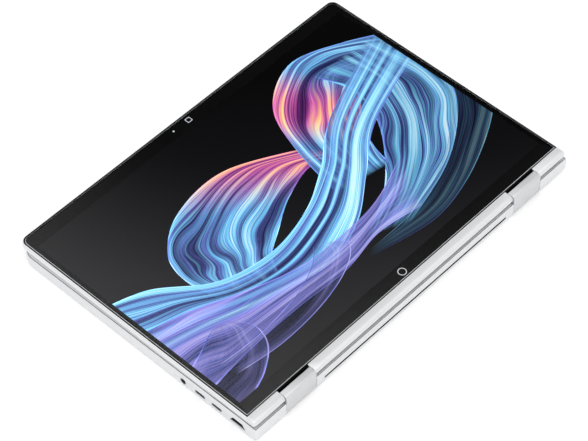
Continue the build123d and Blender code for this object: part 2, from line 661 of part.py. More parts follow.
POCKET_X = GEAR_W + 0.6
for side in SIDES:
    with BuildPart() as hinge_cover:
        with BuildSketch(Plane.YZ.offset(side * NOTCH_X - COVER_W / 2)):
            cover_outline(0)
        extrude(amount=COVER_W)
        with BuildSketch(Plane.YZ.offset(side * NOTCH_X - COVER_W / 2 + 1)):
            cover_outline(COVER_WALL)
        extrude(amount=COVER_W - 2, mode=Mode.SUBTRACT)
        with BuildSketch(Plane.YZ.offset(side * NOTCH_X)):
            with Locations(AXES):
                Circle(SHAFT_R + 0.3)
        extrude(amount=-side * COVER_W, mode=Mode.SUBTRACT)
    hinge_cover.part.label = COVER_NAMES[side]
    export_step(hinge_cover.part, f"parts/{COVER_NAMES[side]}.step")

with BuildPart() as hinge_links:
    for side in SIDES:
        with BuildSketch(Plane.YZ.offset(side * NOTCH_X - LINK_W / 2)):
            with Locations((HINGE_Y, (BASE_AXIS_Z + LID_AXIS_Z) / 2)):
                RectangleRounded(LINK_D, AXIS_GAP + 3.5, 1.4)
            with Locations(AXES):
                Circle(SHAFT_R + RUNNING, mode=Mode.SUBTRACT)
        extrude(amount=LINK_W)
        low = (side * NOTCH_X - POCKET_X / 2, HINGE_Y - LINK_POCKET, BASE_AXIS_Z - LINK_POCKET)
        high = (side * NOTCH_X + POCKET_X / 2, HINGE_Y + LINK_POCKET, LID_AXIS_Z + LINK_POCKET)
        box_between(low, high, mode=Mode.SUBTRACT)
        with BuildSketch(Plane.YZ.offset(side * NOTCH_X - POCKET_X / 2)):
            with Locations([(HINGE_Y, BASE_AXIS_Z + step * 2 * GEAR_R) for step in (1, 2)]):
                Circle(IDLER_PIN_R)
        extrude(amount=POCKET_X)
hinge_links.part.label = "hinge_links"
export_step(hinge_links.part, "parts/hinge_links.step")


def gear_outline(centre_z, turn, bore_r):
    """Adds one toothed outline in the open YZ sketch, with a tooth at turn degrees from +Y."""
    with Locations((HINGE_Y, centre_z)):
        Circle(GEAR_R - TOOTH_IN)
    tooth_w = TOOTH_SHARE * 2 * GEAR_R * pi / GEAR_TEETH
    with Locations((HINGE_Y, centre_z)):
        with PolarLocations(GEAR_R - TOOTH_IN, GEAR_TEETH, start_angle=turn):
            Rectangle(2 * (TOOTH_IN + TOOTH_OUT), tooth_w)
        if bore_r:
            Circle(bore_r, mode=Mode.SUBTRACT)


GEAR_NODES = {
    "base_gear_shafts": (0, 0, 0),
    "idler_gears_lower": (1, 15, IDLER_PIN_R + RUNNING),
    "idler_gears_upper": (2, 0, IDLER_PIN_R + RUNNING),
    "lid_gear_shafts": (3, 15, 0),
}
SHAFT_IN = LINK_W / 2 + 1.0
SHAFT_OUT = NOTCH_W / 2 + 7.0
for name, (place, turn, bore_r) in GEAR_NODES.items():
    with BuildPart() as gear_pair:
        for side in SIDES:
            with BuildSketch(Plane.YZ.offset(side * NOTCH_X - GEAR_W / 2)):
                gear_outline(BASE_AXIS_Z + place * 2 * GEAR_R, turn, bore_r)
            extrude(amount=GEAR_W)
            if not bore_r:
                with BuildSketch(Plane.YZ.offset(side * (NOTCH_X + SHAFT_IN))):
                    with Locations((HINGE_Y, BASE_AXIS_Z + place * 2 * GEAR_R)):
                        Circle(SHAFT_R)
                extrude(amount=-side * (SHAFT_IN + SHAFT_OUT))
    gear_pair.part.label = name
    export_step(gear_pair.part, f"parts/{name}.step")

with BuildPart() as base_brackets:
    for side in SIDES:
        inner = -side * (NOTCH_W / 2 + WALL + 0.2)
        ends = sorted((side * NOTCH_X + inner, side * (NOTCH_X - SHAFT_OUT)))
        low = (ends[0], -109.0, BASE_AXIS_Z - 2.4)
        box_between(low, (ends[1], HINGE_Y + 2.3, BASE_AXIS_Z + 2.4))
        box_between((ends[0], HINGE_Y + 2.3, DECK_T), (ends[1], HINGE_Y + 9.0, DECK_T + 1.6))
        box_between((ends[0], HINGE_Y + 0.8, DECK_T), (ends[1], HINGE_Y + 2.3, BASE_AXIS_Z))
    with BuildSketch(Plane.YZ.offset(-WIDTH / 2)):
        with Locations(AXES[0]):
            Circle(SHAFT_R)
    extrude(amount=WIDTH, mode=Mode.SUBTRACT)
base_brackets.part.label = "base_brackets"
export_step(base_brackets.part, "parts/base_brackets.step")

# Lid --------------------------------------------------------------------------------------
RAIL_FRONT_Y = POCKET_LOW_Y - RAIL_GAP
FLOOR_Z = LID_LOW + 1.1
LEDGE_Z = LID_TOP - POCKET_DEPTH
LEDGE_W = 3.0
TUNNEL_Z = (RAIL_LOW_Z, LID_TOP - 0.9)
RAIL_WALL = 1.2  # between a hinge notch and the tunnel
CAMERA_WINDOW = 3.4
PANEL_LOW = (-152.0, -97.0)
PANEL_HIGH = (152.0, 99.3)


def pocket_outline(inset):
    """Adds the screen pocket's outline, made smaller all round, in the open sketch."""
    panel(
        POCKET_W - 2 * inset, POCKET_LOW_Y + inset, POCKET_HIGH_Y - inset,
        POCKET_REAR_R - inset / 2, POCKET_FRONT_R - inset / 2,
    )


with BuildPart() as rail_form:
    box_between((-WIDTH, -DEPTH, RAIL_LOW_Z), (WIDTH, RAIL_FRONT_Y, LID_TOP + 1))

NOTCH_IN = NOTCH_X - NOTCH_W / 2 - RAIL_WALL
NOTCH_OUT = NOTCH_X + NOTCH_W / 2 + RAIL_WALL
RAIL_END = WIDTH / 2 - 3
with BuildPart() as tunnel:
    for low_x, high_x in ((-RAIL_END, -NOTCH_OUT), (-NOTCH_IN, NOTCH_IN), (NOTCH_OUT, RAIL_END)):
        box_between((low_x, HINGE_Y - 0.9, TUNNEL_Z[0]), (high_x, HINGE_Y + 3.3, TUNNEL_Z[1]))

with BuildPart() as lid_rail:
    add(lid_form.part)
    add(rail_form.part, mode=Mode.INTERSECT)
    add(tunnel.part, mode=Mode.SUBTRACT)
    with BuildSketch(Plane.YZ.offset(-WIDTH / 2 + 3)):
        with Locations(AXES[1]):
            Circle(SHAFT_R + 0.1)
    extrude(amount=WIDTH - 6, mode=Mode.SUBTRACT)
lid_rail.part.label = "lid_rail"
export_step(lid_rail.part, "parts/lid_rail.step")

with BuildPart() as lid_cover:
    add(lid_form.part)
    add(rail_form.part, mode=Mode.SUBTRACT)
    with BuildSketch(Plane.XY.offset(LEDGE_Z)):
        pocket_outline(0)
    extrude(amount=POCKET_DEPTH + 1, mode=Mode.SUBTRACT)
    with BuildSketch(Plane.XY.offset(FLOOR_Z)):
        pocket_outline(LEDGE_W)
    extrude(amount=LID_T, mode=Mode.SUBTRACT)
lid_cover.part.label = "lid_cover"
export_step(lid_cover.part, "parts/lid_cover.step")

with BuildPart() as glass_gasket:
    with BuildSketch(Plane.XY.offset(LEDGE_Z)):
        pocket_outline(0)
    extrude(amount=POCKET_DEPTH - 0.12)
    with BuildSketch(Plane.XY.offset(LEDGE_Z)):
        pocket_outline(GASKET_W)
    extrude(amount=POCKET_DEPTH, mode=Mode.SUBTRACT)
glass_gasket.part.label = "glass_gasket"
export_step(glass_gasket.part, "parts/glass_gasket.step")

with BuildPart() as cover_glass:
    with BuildSketch(Plane.XY.offset(LID_TOP - GLASS_T)):
        pocket_outline(GASKET_W + GLASS_PLAY)
    extrude(amount=GLASS_T)
    chamfer(cover_glass.faces().sort_by(Axis.Z)[-1].edges(), length=GLASS_BEVEL)
cover_glass.part.label = "cover_glass"
export_step(cover_glass.part, "parts/cover_glass.step")

BEZEL_T = 0.12
BEZEL_Z = LID_TOP - GLASS_T - BEZEL_T
ACTIVE_Y = (ACTIVE_LOW_Y + ACTIVE_HIGH_Y) / 2
with BuildPart() as bezel_mask:
    with BuildSketch(Plane.XY.offset(BEZEL_Z)):
        pocket_outline(GASKET_W + GLASS_PLAY + 0.1)
        with Locations((0, ACTIVE_Y)):
            Rectangle(ACTIVE_W, ACTIVE_HIGH_Y - ACTIVE_LOW_Y, mode=Mode.SUBTRACT)
        with Locations((0, CAMERA_Y)):
            RectangleRounded(CAMERA_WINDOW, CAMERA_WINDOW, 0.8, mode=Mode.SUBTRACT)
        with Locations((SENSOR_X, CAMERA_Y)):
            Circle(0.7, mode=Mode.SUBTRACT)
    extrude(amount=BEZEL_T)
bezel_mask.part.label = "bezel_mask"
export_step(bezel_mask.part, "parts/bezel_mask.step")

PANEL_TOP = BEZEL_Z - 0.1
with BuildPart() as display_panel:
    box_between((*PANEL_LOW, FLOOR_Z + 0.1), (*PANEL_HIGH, PANEL_TOP))
display_panel.part.label = "display_panel"
export_step(display_panel.part, "parts/display_panel.step")

SHUTTER_W = 4.4
with BuildPart() as webcam_shutter:
    with Locations((-SHUTTER_W / 2 - 2.0, CAMERA_Y, BEZEL_Z - 0.425)):
        Box(SHUTTER_W, SHUTTER_W, 0.25)
webcam_shutter.part.label = "webcam_shutter"
export_step(webcam_shutter.part, "parts/webcam_shutter.step")

with BuildPart() as webcam_module:
    box_between((-20, CAMERA_Y - 2.4, FLOOR_Z + 0.1), (20, CAMERA_Y + 2.4, FLOOR_Z + 0.9))
    with BuildSketch(Plane.XY.offset(FLOOR_Z + 0.9)):
        with Locations((0, CAMERA_Y)):
            Rectangle(4.2, 4.2)
    extrude(amount=1.2)
    with BuildSketch(Plane.XY.offset(FLOOR_Z + 0.9)):
        with Locations((SENSOR_X, CAMERA_Y)):
            Circle(0.6)
    extrude(amount=BEZEL_Z - FLOOR_Z - 1.0)
webcam_module.part.label = "webcam_module"
export_step(webcam_module.part, "parts/webcam_module.step")

with BuildPart() as webcam_lens:
    with BuildSketch(Plane.XY.offset(FLOOR_Z + 2.1)):
        with Locations((0, CAMERA_Y)):
            Circle(1.5)
    extrude(amount=0.35)
webcam_lens.part.label = "webcam_lens"
export_step(webcam_lens.part, "parts/webcam_lens.step")

with BuildPart() as antennas:
    for side in SIDES:
        x = side * 88
        box_between((x - 22, 101.0, FLOOR_Z + 0.1), (x + 22, 106.2, FLOOR_Z + 0.7))
antennas.part.label = "antennas"
export_step(antennas.part, "parts/antennas.step")

with BuildPart() as lid_brackets:
    for side in SIDES:
        near = side * (NOTCH_X - NOTCH_W / 2 - 1.5)
        ends = sorted((near, side * (NOTCH_X - SHAFT_OUT)))
        box_between((ends[0], HINGE_Y - 0.8, TUNNEL_Z[0]), (ends[1], HINGE_Y + 3.2, TUNNEL_Z[1] - 0.1))
    with BuildSketch(Plane.YZ.offset(-WIDTH / 2)):
        with Locations(AXES[1]):
            Circle(SHAFT_R)
    extrude(amount=WIDTH, mode=Mode.SUBTRACT)
lid_brackets.part.label = "lid_brackets"
export_step(lid_brackets.part, "parts/lid_brackets.step")

with BuildPart() as display_cable:
    box_between((-60, HINGE_Y + 0.4, RAIL_LOW_Z + 0.3), (60, HINGE_Y + 2.4, RAIL_LOW_Z + 1.1))
display_cable.part.label = "display_cable"
export_step(display_cable.part, "parts/display_cable.step")
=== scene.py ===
# %% [markdown]
# # A convertible laptop, folded back as a tablet
# The engineering model of the laptop comes ready made and stays where it is. This lesson gives
# it its looks: satin metal with fine edges, a glass screen with a lit picture, rubber, steel
# and moulded plastic. Everything is in metres, and a place is always worked out from the model.

# %% Load the model and set the colours to come out as they are named
import json
from math import cos, pi, radians, sin

import bmesh
import bpy
from mathutils import Matrix, Vector


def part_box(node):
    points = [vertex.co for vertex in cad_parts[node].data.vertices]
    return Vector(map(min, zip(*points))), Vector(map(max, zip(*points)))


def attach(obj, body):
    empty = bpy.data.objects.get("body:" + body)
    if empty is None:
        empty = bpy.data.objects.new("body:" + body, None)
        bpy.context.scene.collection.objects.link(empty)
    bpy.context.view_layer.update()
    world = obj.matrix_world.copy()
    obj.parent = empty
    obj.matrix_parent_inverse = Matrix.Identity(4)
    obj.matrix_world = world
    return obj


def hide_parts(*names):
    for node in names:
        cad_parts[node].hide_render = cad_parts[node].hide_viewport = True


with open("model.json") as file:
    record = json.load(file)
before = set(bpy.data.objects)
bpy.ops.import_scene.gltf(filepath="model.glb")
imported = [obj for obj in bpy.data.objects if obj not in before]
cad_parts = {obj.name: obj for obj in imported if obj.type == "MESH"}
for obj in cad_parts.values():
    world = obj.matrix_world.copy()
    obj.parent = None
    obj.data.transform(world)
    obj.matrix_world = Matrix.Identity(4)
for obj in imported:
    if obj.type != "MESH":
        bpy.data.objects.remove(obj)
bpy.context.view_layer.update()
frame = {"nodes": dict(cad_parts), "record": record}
bpy.context.scene.view_settings.view_transform = "Standard"
MM = 0.001
nodes = frame["nodes"]
print("pieces in the model:", len(nodes))

# %% [markdown]
# ## Two helpers for materials
# Colours are written as they look on a monitor, as hex values. Blender works with light, so one
# function turns each value to linear light. A second one adds a shader node, fills in its
# settings and joins its inputs, which keeps every material below short enough to read.


# %% Colour and node helpers
def linear(colour):
    """A colour such as "d8d9db" as the linear red, green, blue and alpha that Blender uses."""
    parts = [int(colour[i : i + 2], 16) / 255 for i in (0, 2, 4)]
    return tuple(c / 12.92 if c <= 0.04045 else ((c + 0.055) / 1.055) ** 2.4 for c in parts) + (1.0,)


def add(tree, kind, settings=None, **inputs):
    """Adds one node. An input is a value, or a socket of another node to link from."""
    node = tree.nodes.new("ShaderNode" + kind)
    for name, value in (settings or {}).items():
        setattr(node, name, value)
    for name, value in inputs.items():
        key = int(name[1:]) if name[0] == "i" and name[1:].isdigit() else name.replace("_", " ")
        if isinstance(value, bpy.types.NodeSocket):
            tree.links.new(value, node.inputs[key])
        else:
            node.inputs[key].default_value = value
    return node


def new_material(name, **surface):
    """A material with one Principled shader, whose sockets are set from the values given."""
    material = bpy.data.materials.new(name)
    material.use_nodes = True
    shader = material.node_tree.nodes["Principled BSDF"]
    for key, value in surface.items():
        shader.inputs[key.replace("_", " ")].default_value = value
    return material, material.node_tree, shader


def wear(material, *names):
    """Gives a material to pieces of the model, through the slots that they have."""
    for name in names:
        for slot in nodes[name].material_slots:
            slot.material = material


# %% [markdown]
# ## Bead-blasted anodised aluminium
# The case is aluminium, blasted with fine glass beads and then anodised silver. The blasting
# leaves shallow dimples a few hundredths of a millimetre across, which spread every reflection
# into a soft, almost white sheen. They are too fine to see one by one, so the noise here is
# drawn at half a millimetre: it moves the roughness a little and tilts the surface slightly.


# %% Blasted aluminium, for the case and for the hinge covers
def blasted_aluminium(name, colour, roughness, grain_mm=0.5):
    material, tree, shader = new_material(name, Metallic=1.0)
    place = add(tree, "TexCoord").outputs["Object"]
    grain = add(tree, "TexNoise", Vector=place, Scale=1000 / grain_mm, Detail=2.0)
    cloud = add(tree, "TexNoise", Vector=place, Scale=1000 / 45, Detail=1.0)
    tint = add(tree, "ValToRGB", Fac=cloud.outputs["Fac"])
    tint.color_ramp.elements[0].color = [c * 0.97 for c in linear(colour)[:3]] + [1]
    tint.color_ramp.elements[1].color = linear(colour)
    rough = add(
        tree, "MapRange", Value=grain.outputs["Fac"], To_Min=roughness - 0.04, To_Max=roughness + 0.04
    )
    bump = add(tree, "Bump", Strength=0.06, Distance=0.00002, Height=grain.outputs["Fac"])
    tree.links.new(tint.outputs["Color"], shader.inputs["Base Color"])
    tree.links.new(rough.outputs["Result"], shader.inputs["Roughness"])
    tree.links.new(bump.outputs["Normal"], shader.inputs["Normal"])
    return material


case_metal = blasted_aluminium("blasted aluminium", "e3e4e6", 0.52)
# The bottom cover is the same aluminium made darker: the darker tone is painted shade, for the cover's edge
# that lies in the lid's shadow.
shaded_base_metal = blasted_aluminium("blasted aluminium of the bottom cover", "cbccce", 0.55)
cover_metal = blasted_aluminium("satin hinge metal", "d3d4d6", 0.48, grain_mm=0.4)

# %% [markdown]
# ## Moulded surfaces, and a near black for painted shade
# Rubber, plastic and the matt near black of the painted shade have no metal in them, and they keep
# the fine grain of a mould or a spray. One noise drives both the roughness and a small bump.


# %% Moulded surfaces and the near black for painted shade
def moulded(name, colour, roughness, grain_mm, depth_mm=0.01, gloss=0.5):
    """Rubber or plastic with the fine even grain that its mould leaves."""
    material, tree, shader = new_material(name, Base_Color=linear(colour), Specular_IOR_Level=gloss)
    place = add(tree, "TexCoord").outputs["Object"]
    grain = add(tree, "TexNoise", Vector=place, Scale=1000 / grain_mm, Detail=3.0)
    rough = add(
        tree, "MapRange", Value=grain.outputs["Fac"], To_Min=roughness - 0.06, To_Max=roughness + 0.06
    )
    bump = add(tree, "Bump", Strength=0.3, Distance=depth_mm * MM, Height=grain.outputs["Fac"])
    tree.links.new(rough.outputs["Result"], shader.inputs["Roughness"])
    tree.links.new(bump.outputs["Normal"], shader.inputs["Normal"])
    return material


# Painted shade: a near black with almost no reflection, for the notches, the lip, the seams and the vent
# slot, where shadow falls. The rear vent's grille wears it too.
black_and_painted_shade = moulded("matt black and painted shade", "050506", 0.9, grain_mm=0.5, gloss=0.03)

# %% [markdown]
# ## Fine edges on the case
# A machined case never has a knife edge: a cutter or a buff takes off the last tenths of a
# millimetre, and that narrow band catches the light. Each outer part of the case is copied from
# the model, its loose triangles are joined, flat ones are merged into large faces, and then only
# its sharp edges are bevelled. The outline stays where the model has it.


# %% A copy of a model part with bevelled edges
def body_named(node):
    return next(name for name, members in frame["record"]["behaviour"]["bodies"].items() if node in members)


def keep_piece(form, name, material, body, smooth_below=35):
    """Turns a bmesh into an object that rides on a body and takes its finish from a slot."""
    for face in form.faces:
        face.smooth = True
    for edge in form.edges:
        edge.smooth = len(edge.link_faces) == 2 and edge.calc_face_angle(0) < radians(smooth_below)
    mesh = bpy.data.meshes.new(name)
    form.to_mesh(mesh)
    form.free()
    mesh.materials.append(material)
    piece = bpy.data.objects.new(name, mesh)
    bpy.context.collection.objects.link(piece)
    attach(piece, body)
    print(name, "has", len(mesh.polygons), "faces")
    return piece


def edged_copy(node, material, edge_mm, segments=2, painted=None):
    form = bmesh.new()
    form.from_mesh(nodes[node].data)
    bmesh.ops.remove_doubles(form, verts=form.verts, dist=0.0005 * MM)
    bmesh.ops.dissolve_limit(form, angle_limit=radians(0.5), verts=form.verts, edges=form.edges)
    sharp = [e for e in form.edges if len(e.link_faces) == 2 and e.calc_face_angle(0) > radians(30)]
    bmesh.ops.bevel(
        form, geom=sharp, offset=edge_mm * MM, offset_type="OFFSET", segments=segments,
        profile=0.5, affect="EDGES", clamp_overlap=True, material=-1, harden_normals=False,
    )
    # The faces that the painter picks get painted shade: the near black second material added below.
    if painted:
        painted(form)
    piece = keep_piece(form, node + "_edged", material, body_named(node))
    if painted:
        piece.data.materials.append(black_and_painted_shade)
    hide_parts(node)
    return piece


# %% [markdown]
# ## Painted shade inside the notches and the vent
# The walls of the notches that the hinges turn in, the narrow lip between a notch and the glass,
# and the slot of the rear vent are coloured near black as painted shade, standing in for the shadow
# deep inside them, so all of them look deep. The painted shade needs no shape of its own: the faces
# inside a box get the second material. Planes first cut the large faces at the ends of each box, so
# that the painted shade ends on a straight line.

# %% Faces that get painted shade
hinge_joint = next(j for j in frame["record"]["behaviour"]["joints"] if j["name"] == "base_hinge")
hinge_y = hinge_joint["pos_m"][1]
glass_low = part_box("glass_gasket")[0]
vent_low, vent_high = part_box("exhaust_grille")
# Each box has a low corner, a high corner and the millimetres that it is made wider by
VENT_MARGIN, NOTCH_MARGIN = 0.06, 0.32
NOTCH_DEPTH = 5.9 * MM
FAR_AWAY = 1.0
SHADE_BOXES = [((vent_low[0], -FAR_AWAY, vent_low[2]), tuple(vent_high), VENT_MARGIN)]
for side in ("left", "right"):
    cover_low, cover_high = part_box("hinge_cover_" + side)
    low = (cover_low[0], cover_high[1], -FAR_AWAY)
    lip = (cover_high[0], glass_low[1], FAR_AWAY)
    SHADE_BOXES.append((low, lip, NOTCH_MARGIN))
    notch = (cover_high[0], hinge_y + NOTCH_DEPTH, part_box("bottom_cover")[1][2] - 0.3 * MM)
    SHADE_BOXES.append((low, notch, NOTCH_MARGIN))


def paint_shade_inside(form):
    """Gives the painted shade, the second material, to faces inside the boxes, but not to the outside of the
    case.
    """
    for low, high, margin in SHADE_BOXES:
        low = Vector(low) - Vector((margin, 0.02, 0.06)) * MM
        high = Vector(high) + Vector((margin, 0.02, 0.06)) * MM
        for x in (low.x, high.x):
            every = form.faces[:] + form.edges[:] + form.verts[:]
            bmesh.ops.bisect_plane(form, geom=every, plane_co=(x, 0, 0), plane_no=(1, 0, 0))
        for face in form.faces:
            centre = face.calc_center_median()
            inside = all(a < c < b for a, c, b in zip(low, centre, high))
            outer = face.normal.y < -0.5 and centre.y < hinge_y
            if inside and not outer:
                face.material_index = 1


def shade_cut_edges(form):
    """The bottom cover's upright cut edges get painted shade too, round its rim and in its holes."""
    paint_shade_inside(form)
    for face in form.faces:
        if abs(face.normal.z) < 0.3:
            face.material_index = 1


LEDGE_REACH = 4.5 * MM


def shade_rebate(form):
    """The ledge that the bottom cover sits on gets painted shade, so the seam beside it is a dark line."""
    paint_shade_inside(form)
    case_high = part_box("deck_cover")[1]
    for face in form.faces:
        centre = face.calc_center_median()
        inward = face.normal.x * centre.x + face.normal.y * centre.y < 0 and abs(face.normal.z) < 0.3
        from_edge = min(case_high[0] - abs(centre.x), case_high[1] - abs(centre.y))
        if inward and centre.z > 0.6 * case_high[2] and from_edge < LEDGE_REACH:
            face.material_index = 1


# The notches, the lip, the seams and the vent slot of these parts get painted shade.
edged_copy("deck_cover", case_metal, edge_mm=0.15, painted=shade_rebate)
edged_copy("bottom_cover", shaded_base_metal, edge_mm=0.12, painted=shade_cut_edges)
edged_copy("lid_cover", case_metal, edge_mm=0.22, painted=paint_shade_inside)
edged_copy("lid_rail", case_metal, edge_mm=0.22, painted=paint_shade_inside)
for node in ("hinge_cover_left", "hinge_cover_right"):
    edged_copy(node, cover_metal, edge_mm=0.25)

# %% [markdown]
# ## Bonded glass, black print and gasket
# The screen is one sheet of hard glass, polished on both faces and bonded to the panel with clear
# glue, so there is no air behind it. Its border is printed black on the back, so the border looks
# deep and wet although the print itself is matt. Glass with nothing but glue behind it bends no
# light that can be seen: all it adds is one sharp reflection. So the sheet itself is clear, and
# that reflection is a coat of glass on whatever lies directly behind it.

# %% Glass, print and rubber
BEHIND_GLASS = {"Coat_Weight": 1.0, "Coat_Roughness": 0.03, "Coat_IOR": 1.5}
glass, _, _ = new_material(
    "bonded clear glass", Base_Color=linear("ffffff"), Roughness=0.03, Alpha=0.0, Specular_IOR_Level=0.0
)
wear(glass, "cover_glass")

print_black, print_tree, print_shader = new_material(
    "black screen print", Roughness=0.6, Specular_IOR_Level=0.0, **BEHIND_GLASS
)
print_place = add(print_tree, "TexCoord").outputs["Object"]
print_dust = add(print_tree, "TexNoise", Vector=print_place, Scale=1000 / 0.5)
print_tint = add(print_tree, "ValToRGB", Fac=print_dust.outputs["Fac"])
print_tint.color_ramp.elements[0].color = linear("050506")
print_tint.color_ramp.elements[1].color = linear("09090a")
print_tree.links.new(print_tint.outputs["Color"], print_shader.inputs["Base Color"])
wear(print_black, "bezel_mask")
rubber = moulded("moulded black rubber", "101011", 0.75, grain_mm=0.6, gloss=0.12)
wear(rubber, "glass_gasket")

# %% [markdown]
# ## Ground edge of the glass
# The rim of the cover glass is ground to a small slope before the sheet is polished. Ground glass
# scatters light, so the slope shows as a fine pale line between the black gasket and the black
# border. That pale colour is partly the ground glass's own and partly a painted highlight, standing
# in for the bright room that the slope reflects. The slope's faces are taken from a copy of the glass
# and lifted by a hundredth of a millimetre, because a separate skin lets the rest of the sheet stay
# perfectly clear.


# %% The ground slope, pale partly as painted highlight
# The pale base colour is partly the ground glass's own and partly a painted highlight.
frosted, frosted_tree, frosted_shader = new_material(
    "ground glass edge with painted highlight", Base_Color=linear("d3d6d8"), Roughness=0.5, Specular_IOR_Level=0.6
)
grit_place = add(frosted_tree, "TexCoord").outputs["Object"]
grit = add(frosted_tree, "TexNoise", Vector=grit_place, Scale=1000 / 0.4)
grit_rough = add(frosted_tree, "MapRange", Value=grit.outputs["Fac"], To_Min=0.4, To_Max=0.6)
frosted_tree.links.new(grit_rough.outputs["Result"], frosted_shader.inputs["Roughness"])

rim_form = bmesh.new()
rim_form.from_mesh(nodes["cover_glass"].data)
bmesh.ops.remove_doubles(rim_form, verts=rim_form.verts, dist=0.0005 * MM)
rim_form.normal_update()
not_sloped = [face for face in rim_form.faces if not 0.3 < face.normal.z < 0.95]
bmesh.ops.delete(rim_form, geom=not_sloped, context="FACES")
rim_form.normal_update()
for vertex in rim_form.verts:
    vertex.co += Vector((vertex.normal.x, vertex.normal.y, 0)).normalized() * 0.01 * MM
keep_piece(rim_form, "ground_edge_highlight", frosted, "lid")

# %% [markdown]
# ## Keys and touchpad
# The keys are moulded caps with a satin paint, and each has a fine rounded rim from its mould.
# The touchpad is a glass plate with an etched face, so a finger slides on it and its reflections
# are blurred. Both are copies of the model's shapes with small bevels on their sharp edges.


# %% Keys, touchpad, feet and power button
key_paint = moulded("satin painted key caps", "a4a6a9", 0.48, grain_mm=0.5, depth_mm=0.006)
etched_glass = moulded("etched touchpad glass", "cfd1d3", 0.34, grain_mm=0.4, depth_mm=0.003)
KEY_GROUPS = (
    "function_keys", "number_keys", "upper_letter_keys", "middle_letter_keys", "lower_letter_keys",
    "bottom_keys", "enter_key", "space_bar", "arrow_keys",
)
for group in KEY_GROUPS:
    edged_copy(group, key_paint, edge_mm=0.12)
edged_copy("touchpad", etched_glass, edge_mm=0.1)
for foot in ("front_foot", "rear_foot"):
    edged_copy(foot, rubber, edge_mm=0.2, segments=3)
edged_copy("power_button", case_metal, edge_mm=0.15)

# %% [markdown]
# ## Black moulded plastic
# The speaker grille, the frame between the keys and the sockets' tongues are black glass-filled
# nylon. The glass fibre dulls its surface, which is why it looks greyer than the rubber.

# %% Plastic parts
nylon = moulded("glass-filled black nylon", "1a1a1c", 0.6, grain_mm=0.35, depth_mm=0.008)
wear(nylon, "keyboard_frame", "speaker_grille", "fan_housing", "fan_rotor", "speakers")
# The rear vent's grille wears the near black of the painted shade: partly its own black, partly painted shade
# of the deep vent slot.
wear(black_and_painted_shade, "exhaust_grille")
wear(nylon, "video_tongue", "data_tongues", "wide_tongue", "webcam_module", "webcam_shutter")
tape = moulded("woven black cable tape", "17181b", 0.75, grain_mm=0.8)
wear(tape, "display_cable")

# %% [markdown]
# ## Stamped and ground steel
# Socket shells, screws, brackets and hinge parts are steel. Sheet steel keeps the fine lines of
# the rolls that made it. They are drawn by a noise that is stretched thirty times along one
# direction, about a quarter of a millimetre apart so that they can be seen.


# %% Steel
def rolled_steel(name, colour, roughness, along):
    material, tree, shader = new_material(name, Metallic=1.0)
    place = add(tree, "TexCoord").outputs["Object"]
    stretch = [1000 / 0.25] * 3
    stretch["XYZ".index(along)] /= 30
    drawn_out = add(tree, "Mapping", Vector=place, Scale=stretch).outputs["Vector"]
    lines = add(tree, "TexNoise", Vector=drawn_out, Scale=1.0, Detail=2.0)
    tint = add(tree, "ValToRGB", Fac=lines.outputs["Fac"])
    tint.color_ramp.elements[0].color = [c * 0.8 for c in linear(colour)[:3]] + [1]
    tint.color_ramp.elements[1].color = linear(colour)
    rough = add(
        tree, "MapRange", Value=lines.outputs["Fac"], To_Min=roughness - 0.08, To_Max=roughness + 0.08
    )
    bump = add(tree, "Bump", Strength=0.15, Distance=0.00001, Height=lines.outputs["Fac"])
    tree.links.new(tint.outputs["Color"], shader.inputs["Base Color"])
    tree.links.new(rough.outputs["Result"], shader.inputs["Roughness"])
    tree.links.new(bump.outputs["Normal"], shader.inputs["Normal"])
    return material


# The socket shells are a darker steel than the plates: partly the steel's own tone, partly painted shade for
# the dark inside of each socket.
shell_steel_and_shade = rolled_steel("stamped socket steel, darkened partly as painted shade", "77787b", 0.4, along="X")
wear(shell_steel_and_shade, "video_port", "data_ports", "wide_port", "audio_jack")
plate_steel = rolled_steel("rolled plate steel", "a9aaac", 0.36, along="X")
wear(plate_steel, "keyboard_plate", "touchpad_frame", "base_brackets", "lid_brackets", "bottom_screws")
gear_steel = rolled_steel("ground gear steel", "b4b5b8", 0.28, along="Y")
wear(gear_steel, "hinge_links", "base_gear_shafts", "lid_gear_shafts")
wear(gear_steel, "idler_gears_lower", "idler_gears_upper")

# %% [markdown]
# ## Boards, battery and copper
# These lie inside and show only through the vents or when a part is taken off. A circuit board
# is green lacquer over copper, and the copper tracks stand a little proud: cells of a square
# grid pattern, 1.2 mm apart, are lighter where tracks run. The battery has a black film with
# soft ripples, and the heat sink is copper with a little tarnish.


# %% Board lacquer
board_lacquer, board_tree, board_shader = new_material("green board lacquer", Roughness=0.35, Coat_Weight=0.4)
board_place = add(board_tree, "TexCoord").outputs["Object"]
tracks = add(
    board_tree, "TexVoronoi", {"distance": "MANHATTAN", "feature": "F1"},
    Vector=board_place, Scale=1000 / 1.2, Randomness=0.6,
)
track_tint = add(board_tree, "ValToRGB", Fac=tracks.outputs["Distance"])
track_tint.color_ramp.elements[0].color = linear("2f5a45")
track_tint.color_ramp.elements[1].color = linear("12301f")
track_bump = add(board_tree, "Bump", Strength=0.3, Distance=0.00003, Height=tracks.outputs["Distance"])
board_tree.links.new(track_tint.outputs["Color"], board_shader.inputs["Base Color"])
board_tree.links.new(track_bump.outputs["Normal"], board_shader.inputs["Normal"])
wear(board_lacquer, "mainboard", "ssd_module", "wireless_card", "antennas")

battery_film = moulded("black battery film", "1d1e21", 0.38, grain_mm=9, depth_mm=0.25)
wear(battery_film, "battery_pack")

